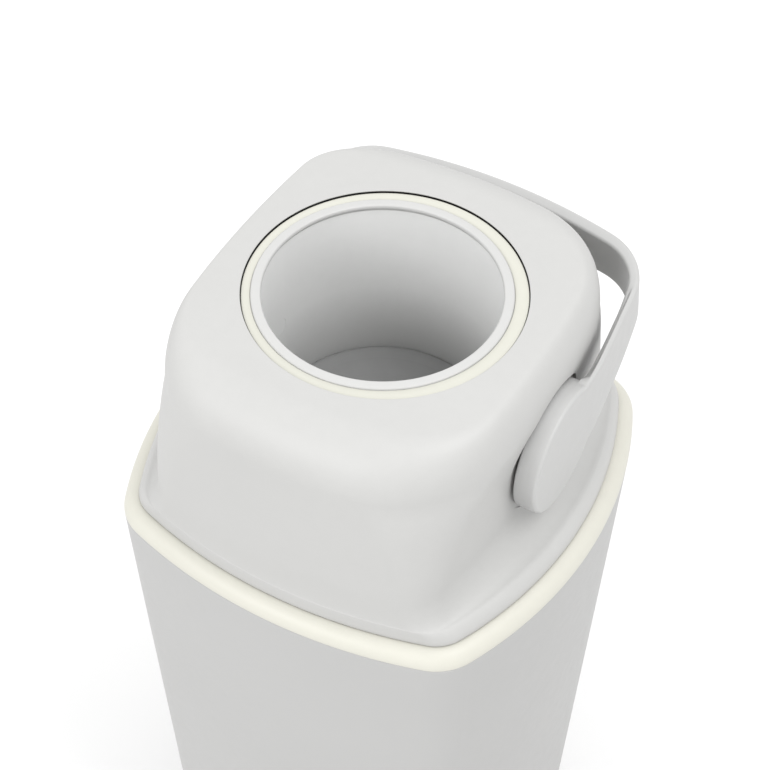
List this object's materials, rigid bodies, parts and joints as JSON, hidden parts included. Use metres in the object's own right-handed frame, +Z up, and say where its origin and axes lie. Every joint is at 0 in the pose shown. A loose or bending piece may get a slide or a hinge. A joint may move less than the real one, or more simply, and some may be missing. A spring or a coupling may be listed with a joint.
{
  "type": "nappy bin",
  "caption": "Free-standing nappy bin: tapered tub, cream collar, hinged head, and an open tube with a sliding piston that turns over with the carrying handle.",
  "frame": {"origin": "middle of the footprint of the tub, on the surface that the four foot pads stand on", "axes": "+Z up; X along the pivot axis of the handle and tube; -Y towards the front, +Y towards the head's hinge and the handle at rest"},
  "size_m": [0.28, 0.2834, 0.601],
  "materials": {
    "shell_grey": "satin moulded plastic, light warm grey",
    "collar_cream": "satin moulded plastic, pale cream",
    "tube_grey": "smooth moulded plastic, light grey",
    "inner_grey": "matt moulded plastic, mid grey",
    "soft_rubber": "dark grey soft rubber",
    "pad_rubber": "grey non-slip rubber",
    "fastener_steel": "zinc-plated steel",
    "weight_steel": "plain iron disc",
    "bush_white": "slippery bearing plastic, off-white"
  },
  "bodies": {
    "bin": {"bin_tub": "shell_grey", "foot_pads": "pad_rubber", "rim_collar": "collar_cream", "hinge_bracket": "collar_cream", "bracket_screws": "fastener_steel", "hinge_pin": "fastener_steel"},
    "head": {"head_shell": "shell_grey", "head_chassis": "inner_grey", "chassis_screws": "fastener_steel", "head_gasket": "soft_rubber", "hinge_leaf": "shell_grey", "leaf_screws": "fastener_steel", "front_tongue": "inner_grey", "tongue_screws": "fastener_steel", "pivot_bush_left": "bush_white", "pivot_bush_right": "bush_white"},
    "rotor": {"drum_half_upper": "tube_grey", "drum_half_lower": "tube_grey", "mouth_ring_upper": "tube_grey", "mouth_ring_lower": "tube_grey", "trim_ring_upper": "collar_cream", "trim_ring_lower": "collar_cream", "flange_seals": "soft_rubber", "trunnion_left": "inner_grey", "trunnion_right": "inner_grey", "flip_handle": "shell_grey", "handle_screws": "fastener_steel", "screw_plugs": "tube_grey"},
    "piston": {"piston_shell": "inner_grey", "piston_weight": "weight_steel", "piston_seal": "soft_rubber"}
  },
  "joints": [
    {"name": "head_hinge", "type": "hinge", "parent": "bin", "child": "head", "pos_m": [0, 0.1332, 0.4704], "axis": [-1, 0, 0], "range_deg": [0, 95]},
    {"name": "handle_flip", "type": "hinge", "parent": "head", "child": "rotor", "pos_m": [0, 0, 0.533], "axis": [1, 0, 0], "range_deg": [0, 180]},
    {"name": "piston_slide", "type": "slide", "parent": "rotor", "child": "piston", "axis": [0, 0, 1], "range_m": [0, 0.1145]}
  ]
}
